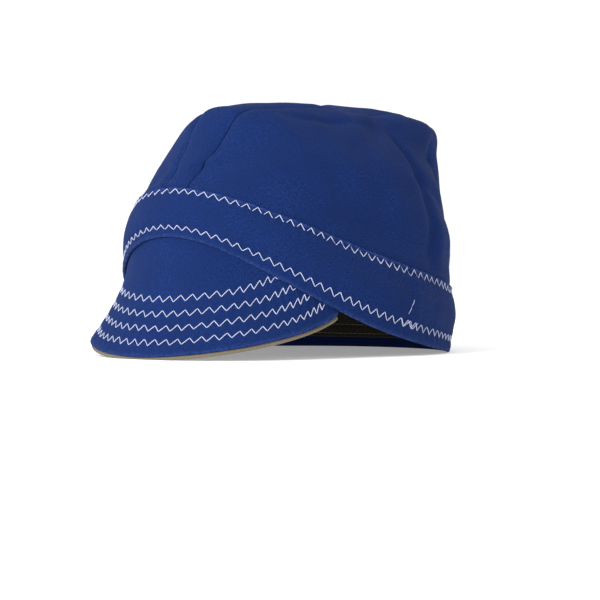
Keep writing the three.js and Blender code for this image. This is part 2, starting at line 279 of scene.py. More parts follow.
def lift_of_pinches(angle, level):
    lift = np.zeros(np.broadcast(angle, level).shape)
    for pinch in PINCHES:
        (first, high), (last, low) = pinch["from"], pinch["to"]
        share = (level - high) / (low - high)
        turn = angle - (first + (last - first) * np.clip(share, 0, 1))
        turn = turn - 360 * np.round(turn / 360)
        past_end = np.maximum(np.abs(share - 0.5) - 0.3, 0) / 0.2
        lift += pinch["height"] * CROWN_HEIGHT * np.exp(-((turn / pinch["width"]) ** 2) - past_end**2)
    return lift


def cap_point(angle, level, offset=0.0, creased=True):
    """A point of the cloth, in the band's own frame: the form with its folds, moved out by an offset."""
    angle, level, offset = np.broadcast_arrays(np.float64(angle), np.float64(level), np.float64(offset))
    lift = offset + lift_of(FOLDS, angle, level)
    if creased:
        lift = lift + lift_of(CREASES, angle, level) + lift_of_pinches(angle, level)
    top_normal = unit(np.array([0, -SECTIONS[TOP]["lean"], 1.0]))
    out = np.where((level > TOP - 0.02)[..., None], top_normal, form_normal(angle, level))
    return form(angle, level) + out * lift[..., None]


def level_above(height):
    return height / BAND_HEIGHT


def peak_drop(share):
    """How far the peak reaches below the band, where share runs from -1 to 1 round the front."""
    fullness = np.maximum(1 - np.abs(share) ** PEAK_ROUNDNESS, 0) ** PEAK_CORNER
    return PEAK_END_LENGTH + (PEAK_LENGTH - PEAK_END_LENGTH) * fullness


PEAK_ROOT = level_above(HEM_HEIGHT - 2 * SEAM_GAP)


def peak_form(share, t):
    """The peak's form: t runs from 0 at the root, inside the band, to 1 at the edge."""
    share, t = np.broadcast_arrays(np.float64(share), np.float64(t))
    angle = share * PEAK_HALF_ANGLE
    inside = cap_point(angle, PEAK_ROOT * (1 - np.minimum(t / ROOT_SHARE, 1)), creased=False)
    start = cap_point(angle, 0 * angle, creased=False)
    down = unit(start - cap_point(angle, PEAK_ROOT + 0 * angle, creased=False))
    drop = peak_drop(share)[..., None]
    slope = np.radians(PEAK_SLOPE + (PEAK_END_SLOPE - PEAK_SLOPE) * share**2)
    aim = np.radians(angle * PEAK_SPREAD)
    reach = np.stack([np.sin(aim) * np.sin(slope), -np.cos(aim) * np.sin(slope), -np.cos(slope)], -1)
    bend = start + down * PEAK_HANG * drop
    end = start + reach * drop
    s = (np.maximum(t - ROOT_SHARE, 0) / (1 - ROOT_SHARE))[..., None]
    hanging = start * (1 - s) ** 2 + bend * 2 * s * (1 - s) + end * s**2
    return np.where((t <= ROOT_SHARE)[..., None], inside, hanging)


def peak_normal(share, t):
    step = 0.02
    at = np.clip(share, -1 + step, 1 - step)
    around = peak_form(at + step, t) - peak_form(at - step, t)
    up = peak_form(at, np.maximum(t - step, 0)) - peak_form(at, np.minimum(t + step, 1))
    return unit(np.cross(around, up))


def peak_point(share, t, offset=0.0):
    share, t, offset = np.broadcast_arrays(np.float64(share), np.float64(t), np.float64(offset))
    return peak_form(share, t) + peak_normal(share, t) * offset[..., None]


# The lean at which the peak's edge and the back of the rim touch the floor together
LINING_OUTER = -PEAK_CLOTH - SEAM_GAP
LINING_INNER = LINING_OUTER - LINING_CLOTH
BAND_INNER = SEAM_GAP
BAND_OUTER = SEAM_GAP + BAND_CLOTH
edge_share = np.sin(np.linspace(-np.pi / 2, np.pi / 2, 61))
edge_points = np.concatenate([peak_point(edge_share, 1.0, side) for side in (LINING_OUTER, LINING_INNER)])
back_angle = np.linspace(90, 270, 121)
rim_points = np.concatenate([cap_point(back_angle, 0.0, side) for side in (BAND_INNER, BAND_OUTER)])


def lowest(points, lean):
    return (points[:, 2] * math.cos(lean) - points[:, 1] * math.sin(lean)).min()


flatter = 0.0
steeper = math.pi / 4
for _ in range(30):
    halfway = (flatter + steeper) / 2
    if lowest(edge_points, halfway) < lowest(rim_points, halfway):
        flatter = halfway
    else:
        steeper = halfway
LEAN = (flatter + steeper) / 2
LIFT = -lowest(edge_points, LEAN) - SETTLE


def turned(vectors):
    """Directions turned from the band's own frame to how the cap rests."""
    x, y, z = vectors[..., 0], vectors[..., 1], vectors[..., 2]
    c, s = math.cos(LEAN), math.sin(LEAN)
    return np.stack([x, y * c + z * s, z * c - y * s], -1)


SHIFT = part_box("peak_lining")[0].y - turned(edge_points)[:, 1].min()


def laid(points):
    """Points put from the band's own frame on the floor, where the cloth flattens."""
    placed = turned(points) + np.array([0, SHIFT, LIFT])
    placed[..., 2] = np.maximum(placed[..., 2], 0)
    return placed


def ripple(points, wavelength, height, seed):
    """Soft unevenness of cloth: a sum of a few waves through space."""
    rng = np.random.default_rng(seed)
    directions = unit(rng.normal(size=(7, 3)))
    phases = rng.uniform(0, 2 * np.pi, 7)
    lengths = wavelength * rng.uniform(0.7, 1.5, 7)
    waves = np.sin((points @ directions.T) * 2 * np.pi / lengths + phases)
    return height * waves.sum(-1) / 2.6


def arc_length(points):
    return np.concatenate([[0], np.cumsum(np.linalg.norm(np.diff(points, axis=0), axis=1))])


def distance_to(line, points):
    """The distance of each point from a line of short straight pieces."""
    start, step = line[:-1], np.diff(line, axis=0)
    squares = np.maximum((step**2).sum(-1), 1e-18)
    flat = points.reshape(-1, 3)
    nearest = []
    for part in np.array_split(flat, max(1, len(flat) // 2000)):
        away = part[:, None, :] - start[None]
        share = np.clip((away * step).sum(-1) / squares, 0, 1)
        nearest.append(np.linalg.norm(away - share[..., None] * step, axis=-1).min(axis=1))
    return np.concatenate(nearest).reshape(points.shape[:-1])


def smooth_step(value, low, high):
    t = np.clip((value - low) / (high - low), 0, 1)
    return t * t * (3 - 2 * t)


def mesh_piece(name, points, faces, uvs, material):
    """A new object from points, faces and one UV for each point, welded and with its faces turned out."""
    mesh = bpy.data.meshes.new(name)
    mesh.from_pydata(points.reshape(-1, 3).tolist(), [], faces)
    corners = np.zeros(len(mesh.loops), np.int32)
    mesh.loops.foreach_get("vertex_index", corners)
    layer = mesh.uv_layers.new(name="cloth")
    layer.data.foreach_set("uv", uvs.reshape(-1, 2)[corners].astype(np.float32).ravel())
    built = bmesh.new()
    built.from_mesh(mesh)
    bmesh.ops.remove_doubles(built, verts=built.verts, dist=2e-6)
    bmesh.ops.dissolve_degenerate(built, edges=built.edges, dist=1e-7)
    bmesh.ops.recalc_face_normals(built, faces=built.faces)
    built.to_mesh(mesh)
    built.free()
    for polygon in mesh.polygons:
        polygon.use_smooth = True
    mesh.materials.append(material)
    piece = bpy.data.objects.new(name, mesh)
    bpy.context.scene.collection.objects.link(piece)
    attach(piece, "root")
    return piece


def cloth_wall(name, outer, inner, uv, material):
    """A sheet with thickness between two grids of points, closed all round its border."""
    rows, columns = outer.shape[:2]
    count = rows * columns
    at = np.arange(count).reshape(rows, columns)
    faces = []

    def strip(a, b, c, d):
        faces.extend(np.stack([a.ravel(), b.ravel(), c.ravel(), d.ravel()], -1).tolist())

    strip(at[:-1, :-1], at[:-1, 1:], at[1:, 1:], at[1:, :-1])
    strip(count + at[:-1, 1:], count + at[:-1, :-1], count + at[1:, :-1], count + at[1:, 1:])
    for edge in (at[0], at[-1][::-1], at[::-1, 0], at[:, -1]):
        strip(edge[1:], edge[:-1], count + edge[:-1], count + edge[1:])
    return mesh_piece(name, np.concatenate([outer.reshape(-1, 3), inner.reshape(-1, 3)]), faces,
                      np.concatenate([uv.reshape(-1, 2), uv.reshape(-1, 2)]), material)


def principled(name, colour, roughness):
    material = bpy.data.materials.new(name)
    material.use_nodes = True
    shader = material.node_tree.nodes["Principled BSDF"]
    shader.inputs["Base Color"].default_value = (*colour, 1)
    shader.inputs["Roughness"].default_value = roughness
    return material, material.node_tree, shader


def add(tree, kind, **settings):
    """A node with its settings; a setting whose name is an input's is put on that input."""
    node = tree.nodes.new(kind)
    for key, value in settings.items():
        label = key.replace("_", " ")
        if label in node.inputs:
            node.inputs[label].default_value = value
        else:
            setattr(node, key, value)
    return node


def millimetres(tree):
    """The piece's own UV map, in millimetres."""
    uv = add(tree, "ShaderNodeUVMap", uv_map="cloth")
    scaled = add(tree, "ShaderNodeMapping", Scale=(1000, 1000, 1000))
    tree.links.new(uv.outputs["UV"], scaled.inputs["Vector"])
    return scaled.outputs["Vector"]


def bands(tree, coordinates, turn, pitch, distortion=0.6):
    """Parallel ribs across the cloth, turned by an angle, with a pitch in millimetres."""
    turned_to = add(tree, "ShaderNodeMapping", Rotation=(0, 0, math.radians(turn)))
    wave = add(tree, "ShaderNodeTexWave", Scale=2 * math.pi / (20 * pitch), Distortion=distortion, Detail=2.0)
    wave.inputs["Detail Scale"].default_value = 1.5
    tree.links.new(coordinates, turned_to.inputs["Vector"])
    tree.links.new(turned_to.outputs["Vector"], wave.inputs["Vector"])
    return wave.outputs["Fac"]


def noise(tree, coordinates, scale, detail=3.0, stretch=(1, 1, 1)):
    stretched = add(tree, "ShaderNodeMapping", Scale=stretch)
    texture = add(tree, "ShaderNodeTexNoise", Scale=scale, Detail=detail)
    tree.links.new(coordinates, stretched.inputs["Vector"])
    tree.links.new(stretched.outputs["Vector"], texture.inputs["Vector"])
    return texture.outputs["Fac"]


def blend_colours(tree, factor, first, second):
    """A mix of two colours, where each is a colour or another node's output."""
    mix = add(tree, "ShaderNodeMix", data_type="RGBA")
    for socket, value in ((mix.inputs[6], first), (mix.inputs[7], second)):
        if isinstance(value, tuple):
            socket.default_value = (*value, 1)
        else:
            tree.links.new(value, socket)
    tree.links.new(factor, mix.inputs[0])
    return mix.outputs[2]


def spread(tree, value, low, high):
    """A value stretched to run from 0 to 1 between two limits."""
    mapped = add(tree, "ShaderNodeMapRange")
    mapped.inputs["From Min"].default_value = low
    mapped.inputs["From Max"].default_value = high
    tree.links.new(value, mapped.inputs["Value"])
    return mapped.outputs["Result"]


def combine(tree, first, second, share):
    """A sum of two heights, the second by a share."""
    total = add(tree, "ShaderNodeMath", operation="MULTIPLY_ADD")
    tree.links.new(second, total.inputs[0])
    total.inputs[1].default_value = share
    tree.links.new(first, total.inputs[2])
    return total.outputs[0]


def raise_surface(tree, shader, height, distance):
    bump = add(tree, "ShaderNodeBump", Strength=1.0, Distance=distance)
    tree.links.new(height, bump.inputs["Height"])
    tree.links.new(bump.outputs["Normal"], shader.inputs["Normal"])


def twill(name, deep, bright, worn):
    """Heavy cotton twill: diagonal ribs, crossed threads, uneven dye and a little fuzz."""
    material, tree, shader = principled(name, bright, 0.88)
    shader.inputs["Sheen Weight"].default_value = 0.03
    shader.inputs["Sheen Roughness"].default_value = 0.45
    shader.inputs["Sheen Tint"].default_value = (0.45, 0.58, 1.0, 1)
    shader.inputs["Specular IOR Level"].default_value = 0.08
    place = millimetres(tree)
    ribs = bands(tree, place, 58, 0.85)
    warp = noise(tree, place, 1.9, 2.0, (0.35, 1.6, 1))
    weft = noise(tree, place, 1.9, 2.0, (1.6, 0.35, 1))
    slubs = noise(tree, place, 0.5, 4.0)
    dye = noise(tree, place, 0.035, 3.0)
    threads = combine(tree, warp, weft, 1.0)
    tone = blend_colours(tree, spread(tree, threads, 0.85, 1.15), deep, bright)
    tone = blend_colours(tree, spread(tree, dye, 0.35, 0.7), tone, tuple(0.6 * c for c in bright))
    rubbed = add(tree, "ShaderNodeAttribute", attribute_name="wear")
    worn_share = add(tree, "ShaderNodeMath", operation="MULTIPLY")
    tree.links.new(rubbed.outputs["Fac"], worn_share.inputs[0])
    tree.links.new(spread(tree, slubs, 0.35, 0.65), worn_share.inputs[1])
    tree.links.new(blend_colours(tree, worn_share.outputs[0], tone, worn), shader.inputs["Base Color"])
    raise_surface(tree, shader, combine(tree, combine(tree, ribs, threads, 0.8), slubs, 0.7), 0.00016)
    return material


def canvas(name, dark, light, rib_pitch, sheen):
    """Plain cotton lining with ribs along one way, painted darker between the ribs as shade, and with uneven
    patches of its own tone.
    """
    material, tree, shader = principled(name, light, 0.92)
    shader.inputs["Sheen Weight"].default_value = sheen
    shader.inputs["Specular IOR Level"].default_value = 0.2
    place = millimetres(tree)
    ribs = bands(tree, place, 0, rib_pitch, 0.4)
    cross = bands(tree, place, 90, rib_pitch * 0.6, 0.4)
    slubs = noise(tree, place, 0.6, 4.0)
    patches = noise(tree, place, 0.05, 2.0)
    # partly painted shade: the dark colour fills the valleys between the ribs, the light one their tops
    tone = blend_colours(tree, ribs, dark, light)
    tone = blend_colours(tree, spread(tree, patches, 0.4, 0.75), tone, tuple(0.72 * c for c in light))
    tree.links.new(tone, shader.inputs["Base Color"])
    raise_surface(tree, shader, combine(tree, combine(tree, ribs, cross, 0.5), slubs, 0.5), 0.00022)
    return material


def thread(name, colour, shade):
    """Polyester sewing thread, two plies twisted, with painted shade in the grooves between the plies."""
    material, tree, shader = principled(name, colour, 0.5)
    shader.inputs["Sheen Weight"].default_value = 0.15
    plies = bands(tree, millimetres(tree), 35, 0.45, 0.2)
    # painted shade: the shade colour fills the grooves between the plies, the thread's own colour their tops
    tree.links.new(blend_colours(tree, plies, shade, colour), shader.inputs["Base Color"])
    raise_surface(tree, shader, plies, 0.00008)
    return material


blue_twill = twill("blue_twill", deep=(0.0028, 0.0105, 0.056), bright=(0.0080, 0.029, 0.145),
                   worn=(0.030, 0.060, 0.21))
# The canvases' dark colours are painted shade between their ribs; the light ones are the cloth's own colour.
khaki_canvas = canvas("khaki_canvas", dark=(0.11, 0.09, 0.06), light=(0.23, 0.19, 0.13), rib_pitch=1.1,
                      sheen=0.1)
olive_canvas = canvas("olive_canvas", dark=(0.022, 0.019, 0.012), light=(0.065, 0.056, 0.038), rib_pitch=0.9,
                      sheen=0.05)
# The threads' shade colours are painted shade for the grooves between their plies.
pale_thread = thread("pale_thread", colour=(0.66, 0.70, 0.86), shade=(0.36, 0.39, 0.56))
khaki_thread = thread("khaki_thread", colour=(0.42, 0.36, 0.25), shade=(0.26, 0.22, 0.15))


def set_wear(piece, amounts):
    """Stores how rubbed the cloth is, by a function of each point's place."""
    points = np.zeros(len(piece.data.vertices) * 3)
    piece.data.vertices.foreach_get("co", points)
    layer = piece.data.attributes.new("wear", "FLOAT", "POINT")
    layer.data.foreach_set("value", amounts(points.reshape(-1, 3)).astype(np.float32))


# Crown
FAN_CENTRE = BAND_HEIGHT - CROWN_LAP
CROWN_FOOT = level_above(FAN_CENTRE)


def strip_width(turn):
    """The centre strip's width at a turn from the front, over the top, to the back."""
    is_front = turn < 90
    end_width = np.where(is_front, STRIP_FRONT_WIDTH, STRIP_BACK_WIDTH)
    taper = np.where(is_front, STRIP_FRONT_TAPER, STRIP_BACK_TAPER)
    share = np.sin(np.radians(np.clip(turn, 0, 180))) ** taper
    return end_width + (STRIP_WIDTH - end_width) * share


def turn_of(points):
    return np.degrees(np.arctan2(points[..., 2] - FAN_CENTRE, -points[..., 1]))


def seam_level(angle, side):
    """The level at which the seam beside the centre strip crosses an angle, on one side of the cap."""
    low = np.full_like(angle, CROWN_FOOT)
    high = np.full_like(angle, float(TOP))
    for _ in range(40):
        middle = (low + high) / 2
        points = cap_point(side * angle, middle)
        outside = side * points[..., 0] > strip_width(turn_of(points)) / 2
        low = np.where(outside, middle, low)
        high = np.where(outside, high, middle)
    return (low + high) / 2


def foot_angle(inside, outside, side):
    """The angle at which the seam meets the crown's foot, between one in the strip and one outside it."""
    for _ in range(40):
        middle = (inside + outside) / 2
        point = cap_point(side * middle, CROWN_FOOT)
        if side * point[0] > strip_width(turn_of(point)) / 2:
            outside = middle
        else:
            inside = middle
    return (inside + outside) / 2


def edge_rounding(distance, radius):
    """How far a face draws back towards the sheet's middle at its rounded edge."""
    inside = np.clip(1 - distance / radius, 0, 1)
    return radius * (1 - np.sqrt(np.maximum(1 - inside**2, 0)))


def seam_relief(distance, points):
    """How the cloth dips and puckers towards a seam, and turns in at its very edge."""
    dip = -SEAM_DEPTH * np.exp(-((distance / SEAM_BREADTH) ** 2))
    pucker = ripple(points, **SEAM_PUCKER) * np.exp(-((distance / SEAM_PUCKER_REACH) ** 2))
    return dip + pucker - edge_rounding(distance, SEAM_TURN_IN)


def crown_unevenness(points, level):
    """Slack and soft waves of the crown's cloth, none where the band holds it."""
    shape = ripple(points, **CROWN_WAVES) + ripple(points, **CROWN_RIPPLES) - CROWN_SLACK
    return shape * smooth_step(level, 0.98, 1.3)


def crown_side(node, side, columns=190, rows=100):
    """A side panel: a half-moon between the band and the seam beside the centre strip."""
    front = foot_angle(0.5, 60.0, side)
    back = foot_angle(179.5, 120.0, side)
    dense = front + (back - front) * (0.5 - 0.5 * np.cos(np.linspace(0, np.pi, 1500)))
    seam_length = arc_length(cap_point(side * dense, seam_level(dense, side)))
    foot_length = arc_length(cap_point(side * dense, CROWN_FOOT + 0 * dense))
    stations = np.linspace(0, 1, columns)
    seam_angle = np.interp(stations * seam_length[-1], seam_length, dense)
    seam_at = np.where((stations > 0) & (stations < 1), seam_level(seam_angle, side), CROWN_FOOT)
    foot_at = np.interp(stations * foot_length[-1], foot_length, dense)
    t = np.linspace(0, 1, rows)[:, None] ** 0.8
    angle = side * (foot_at + (seam_angle - foot_at) * t)
    level = CROWN_FOOT + (seam_at - CROWN_FOOT) * t
    base = cap_point(angle, level)
    normal = form_normal(angle, level)
    distance = distance_to(base[-1], base)
    lift = seam_relief(distance, base) + crown_unevenness(base, level)
    outer = base + normal * lift[..., None]
    inner = base + normal * (lift - CROWN_CLOTH)[..., None]
    uv = np.stack([base[..., 1], base[..., 2] - 0.5 * side * base[..., 0]], -1)
    if side < 0:
        outer, inner, uv = outer[:, ::-1], inner[:, ::-1], uv[:, ::-1]
    piece = cloth_wall(node + "_cloth", laid(outer), laid(inner), uv, blue_twill)
    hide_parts(node)
    return piece


def crown_strip(columns=60, rows=260):
    """The centre strip, from the band over the top to the band behind, found by rays from the ear axis."""
    angle, level = np.meshgrid(np.linspace(0, 360, 421), np.linspace(CROWN_FOOT, TOP, 300), indexing="ij")
    shell = cap_point(angle, level)
    at = np.arange(angle.size).reshape(angle.shape)
    quads = np.stack([at[:-1, :-1], at[1:, :-1], at[1:, 1:], at[:-1, 1:]], -1).reshape(-1, 4)
    tree = BVHTree.FromPolygons(shell.reshape(-1, 3).tolist(), quads.tolist())
    levels = level.ravel()
    first = turn_of(cap_point(0.0, CROWN_FOOT)).item() + 0.2
    last = turn_of(cap_point(180.0, CROWN_FOOT)).item() - 0.2
    turns = np.linspace(first, last, rows)
    shares = np.sin(np.linspace(-np.pi / 2, np.pi / 2, columns))
    base = np.zeros((rows, columns, 3))
    level_of = np.zeros((rows, columns))
    for i, turn in enumerate(turns):
        direction = Vector((0, -math.cos(math.radians(turn)), math.sin(math.radians(turn))))
        half = float(strip_width(turn)) / 2
        for j, share in enumerate(shares):
            hit, _, face, _ = tree.ray_cast(Vector((share * half, 0, FAN_CENTRE)), direction)
            base[i, j] = hit
            level_of[i, j] = levels[quads[face][0]]
    across = np.gradient(base, axis=1)
    ahead = np.gradient(base, axis=0)
    normal = unit(np.cross(across, ahead))
    along = arc_length(base[:, columns // 2])[:, None]
    half_width = strip_width(turns)[:, None] / 2
    distance = half_width * (1 - np.abs(shares)[None, :])
    fullness = STRIP_FULLNESS * np.sin(np.radians(turns))[:, None] * (1 - np.abs(shares)[None, :] ** 2)
    lift = seam_relief(distance, base) + crown_unevenness(base, level_of) + fullness
    outer = base + normal * lift[..., None]
    inner = base + normal * (lift - CROWN_CLOTH)[..., None]
    uv = np.stack([half_width * shares[None, :], along + 0 * distance], -1)
    piece = cloth_wall("crown_strip_cloth", laid(outer), laid(inner), uv, blue_twill)
    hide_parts("crown_strip")
    return piece


# Band and sweatband
def rounded_profile(low, high, inner, outer, rows):
    """Heights and offsets round the section of a flat band of cloth with rounded edges."""
    radius = (outer - inner) / 2
    middle = (outer + inner) / 2
    face = low + radius + (high - low - 2 * radius) * np.linspace(0, 1, rows)
    bow = np.linspace(0, np.pi, 9)[1:-1]
    top = high - radius + radius * np.sin(bow)
    foot = low + radius - radius * np.sin(bow)
    heights = np.concatenate([face, top, face[::-1], foot])
    out = middle + radius * np.cos(bow)
    back = middle - radius * np.cos(bow)
    offsets = np.concatenate([np.full(rows, outer), out, np.full(rows, inner), back])
    return heights, offsets


def band_relief(angle, height, along):
    """How the band's cloth is drawn in along its rows of stitches and puffs between them."""
    relief = BAND_PUFF * np.sin(np.pi * np.clip(height / BAND_HEIGHT, 0, 1)) ** 0.5
    relief = relief + np.abs(ripple(cap_point(angle, level_above(height)), **BAND_WAVES))
    pucker = np.sin(2 * np.pi * along / PUCKER_PITCH + 1.3 * np.sin(along * 61))
    for row in BAND_ROWS:
        near = np.exp(-(((height - row) / BAND_ROW_BREADTH) ** 2))
        wide = np.exp(-(((height - row) / BAND_PUCKER_REACH) ** 2))
        relief = relief - BAND_ROW_DEPTH * near + BAND_PUCKER * pucker * wide
    turn = angle - JOIN_ANGLE - JOIN_SLANT * (height - BAND_HEIGHT / 2)
    for line in (JOIN_GROOVE, JOIN_RIDGE):
        relief = relief + line["height"] * np.exp(-(((turn - line["turn"]) / line["width"]) ** 2))
    return relief


def around_rim(count, height=0.0):
    """Angles and arc lengths once round the band, at a height, in equal steps."""
    dense = np.linspace(0, 360, 1441)
    length = arc_length(cap_point(dense, level_above(height) + 0 * dense))
    steps = np.linspace(0, length[-1], count)
    return np.interp(steps, length, dense), steps


def band_face(angle, height, along):
    """A point on the band's outer face, in its own frame."""
    return cap_point(angle, level_above(height), BAND_OUTER + band_relief(angle, height, along))


def ring_of_cloth(name, heights, offsets, relief, material, columns):
    """A closed band of cloth round the head, from its section and a relief."""
    angle, along = around_rim(columns)
    height = heights[:, None] + 0 * angle
    offset = offsets[:, None] + relief(angle[None, :], height, along[None, :])
    points = cap_point(angle[None, :] + 0 * height, level_above(height), offset)
    points = np.concatenate([points, points[:1]])
    travelled = np.concatenate([[0], np.cumsum(np.hypot(np.diff(heights), np.diff(offsets)))])
    travelled = np.append(travelled, travelled[-1] + BAND_CLOTH)
    uv = np.stack([along[None, :] + 0 * travelled[:, None], travelled[:, None] + 0 * along[None, :]], -1)
    rows = len(travelled)
    at = np.arange(rows * columns).reshape(rows, columns)
    faces = np.stack([at[:-1, :-1], at[:-1, 1:], at[1:, 1:], at[1:, :-1]], -1).reshape(-1, 4).tolist()
    return mesh_piece(name, laid(points), faces, uv, material)


def band():
    heights, offsets = rounded_profile(0, BAND_HEIGHT, BAND_INNER, BAND_OUTER, 30)
    outside = offsets > (BAND_INNER + BAND_OUTER) / 2

    def relief(angle, height, along):
        return band_relief(angle, height, along) * outside[:, None]

    piece = ring_of_cloth("band_cloth", heights, offsets, relief, blue_twill, 560)
    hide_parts("band")
    return piece


def sweatband():
    top = BAND_HEIGHT - CROWN_LAP - SEAM_GAP
    heights, offsets = rounded_profile(HEM_HEIGHT, top, -SWEATBAND_CLOTH, 0, 18)
    inside = offsets < -SWEATBAND_CLOTH / 2

    def relief(angle, height, along):
        drawn = 0 * height
        for row in SWEATBAND_ROWS:
            drawn = drawn + SWEATBAND_ROW_DEPTH * np.exp(-(((height - row) / SWEATBAND_ROW_BREADTH) ** 2))
        return drawn * inside[:, None]

    piece = ring_of_cloth("sweatband_cloth", heights, offsets, relief, olive_canvas, 400)
    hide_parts("sweatband")
    return piece


# Peak
edge_travel_shares = np.sin(np.linspace(-np.pi / 2, np.pi / 2, 361))
edge_line = peak_point(edge_travel_shares, 1.0)
edge_travel = arc_length(edge_line)


def from_edge(share, t):
    """The distance of a point of the peak from its edge."""
    return distance_to(edge_line, peak_point(share, t))


def edge_way(share):
    """The way along the peak's edge to a share."""
    return np.interp(share, edge_travel_shares, edge_travel)


def hang_share(t):
    """0 where the band holds the peak, and 1 where the peak hangs free."""
    return smooth_step(t, ROOT_SHARE, ROOT_SHARE + 0.08)


def peak_relief(share, t, distance):
    """How the peak's cloth is drawn in along its rows of stitches, with small ridges across them."""
    relief = 0 * distance
    along = edge_way(share)
    for row in PEAK_ROWS:
        relief = relief - PEAK_ROW_DEPTH * np.exp(-(((distance - row) / PEAK_ROW_BREADTH) ** 2))
    sewn = smooth_step(distance, *PEAK_SEWN_FROM) * (1 - smooth_step(distance, *PEAK_SEWN_TO))
    ridges = np.sin(2 * np.pi * along / PUCKER_PITCH + 1.1 * np.sin(along * 83 + distance * 300))
    return (relief + PEAK_RIDGE * ridges * sewn) * hang_share(t)


def peak_unevenness(share, t):
    """Soft waves of the peak's upper cloth."""
    return ripple(peak_point(share, t), **PEAK_WAVES) * hang_share(t)


def peak_grid(short_by, columns, rows):
    share = np.sin(np.linspace(-np.pi / 2, np.pi / 2, columns))[None, :]
    fine_edge = 1 - (1 - np.linspace(0, 1, rows)) ** 1.35
    t = fine_edge[:, None] * (1 - short_by / peak_drop(share))
    return share + 0 * t, t


def peak_cover():
    """The blue upper cloth, turned in at its edge."""
    share, t = peak_grid(LINING_REACH, 260, 90)
    distance = from_edge(share, t)
    past = np.maximum(distance - LINING_REACH, 0)
    uneven = peak_unevenness(share, t) * smooth_step(distance, 0, 0.01)
    roll = edge_rounding(past, PEAK_CLOTH / 2)
    outer = peak_point(share, t, peak_relief(share, t, distance) + uneven - roll)
    inner = peak_point(share, t, -PEAK_CLOTH + roll)
    uv = np.stack([edge_way(share), distance], -1)
    piece = cloth_wall("peak_cover_cloth", laid(outer), laid(inner), uv, blue_twill)
    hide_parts("peak_cover")
    return piece


def peak_lining():
    """The khaki cloth under the peak, rolled at its edge."""
    share, t = peak_grid(0, 260, 90)
    distance = from_edge(share, t)
    relief = peak_relief(share, t, distance)
    roll = edge_rounding(distance, LINING_CLOTH / 2)
    beads = EDGE_BEAD * np.sin(2 * np.pi * edge_way(share) / EDGE_BEAD_PITCH)
    near_edge = np.exp(-(((distance - EDGE_BULGE_PLACE) / EDGE_BULGE_BREADTH) ** 2))
    bulge = (EDGE_BULGE + beads) * near_edge
    outer = peak_point(share, t, LINING_OUTER - roll)
    inner = peak_point(share, t, LINING_INNER - UNDERSIDE_SHARE * relief + roll - bulge)
    uv = np.stack([edge_way(share), distance], -1)
    piece = cloth_wall("peak_lining_cloth", laid(outer), laid(inner), uv, khaki_canvas)
    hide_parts("peak_lining")
    return piece


# Stitches
def stitches(name, holes, surface, radius, material):
    """Thread from each needle hole to the next, where surface gives a point and an outward direction."""
    sides = THREAD_SIDES
    samples = STITCH_SAMPLES
    step = np.linspace(0, 1, samples)[None, :, None]
    path = holes[:-1, None, :] * (1 - step) + holes[1:, None, :] * step
    points, out = surface(path.reshape(-1, holes.shape[1]))
    points = points.reshape(-1, samples, 3)
    out = out.reshape(-1, samples, 3)
    rise = radius * (STITCH_RISE * np.sin(np.pi * step) ** 0.6 - STITCH_SINK)
    centre = points + out * rise
    ahead = unit(np.gradient(centre, axis=1))
    side = unit(np.cross(ahead, out))
    up = np.cross(side, ahead)
    turn = np.linspace(0, 2 * np.pi, sides, endpoint=False)
    ring = up[:, :, None, :] * np.cos(turn)[:, None] + side[:, :, None, :] * np.sin(turn)[:, None]
    tube = centre[:, :, None, :] + radius * ring
    count = len(tube)
    at = np.arange(count * samples * sides).reshape(count, samples, sides)
    around = np.roll(at, -1, axis=2)
    faces = np.stack([at[:, :-1], around[:, :-1], around[:, 1:], at[:, 1:]], -1).reshape(-1, 4).tolist()
    faces += at[:, 0, ::-1].tolist() + at[:, -1, :].tolist()
    length = np.linalg.norm(points[:, -1] - points[:, 0], axis=-1)[:, None, None] * step[:, :, 0][..., None]
    uv = np.stack([length + 0 * turn, radius * turn + 0 * length], -1)
    return mesh_piece(name, laid(tube), faces, uv, material)


def zigzag_on_band(name, row, rng, first, way_round):
    """A row of zigzag round the band, from an angle on and for a share of the whole way round."""
    once = np.linspace(0, 360, 1441)
    round_length = arc_length(cap_point(once, level_above(row) + 0 * once))
    whole = round_length[-1]
    dense = np.concatenate([once[:-1], once + 360])
    length = np.concatenate([round_length[:-1], round_length + whole])
    start = np.interp(first, dense, length)
    reach = way_round * whole
    count = int(round(reach / (2 * HALF_PITCH))) * 2
    ways = start + reach * np.arange(count + 1) / count + rng.normal(0, SCATTER_ALONG, count + 1)
    heights = row + ZIGZAG_WIDTH / 2 * np.where(np.arange(count + 1) % 2 == 0, 1, -1)
    heights = heights + rng.normal(0, SCATTER_ACROSS, count + 1)
    angles = np.interp(ways, length, dense)

    def surface(places):
        angle, height = places[:, 0], places[:, 1]
        along = np.interp(angle, dense, length) % whole
        return band_face(angle, height, along), form_normal(angle, level_above(height))

    return stitches(name, np.stack([angles, heights], -1), surface, THREAD, pale_thread)


FIELD_SHARES = np.sin(np.linspace(-np.pi / 2, np.pi / 2, 181))
FIELD_STEPS = np.linspace(ROOT_SHARE * 0.8, 1, 70)
EDGE_FIELD = from_edge(FIELD_SHARES[:, None] + 0 * FIELD_STEPS, FIELD_STEPS + 0 * FIELD_SHARES[:, None])


def peak_row_places(distance):
    """Shares and rows t of the line that keeps a distance from the peak's edge."""
    places = []
    for share, distances in zip(FIELD_SHARES, EDGE_FIELD):
        if distances[0] > distance:
            places.append((share, np.interp(-distance, -distances, FIELD_STEPS)))
    return np.array(places)


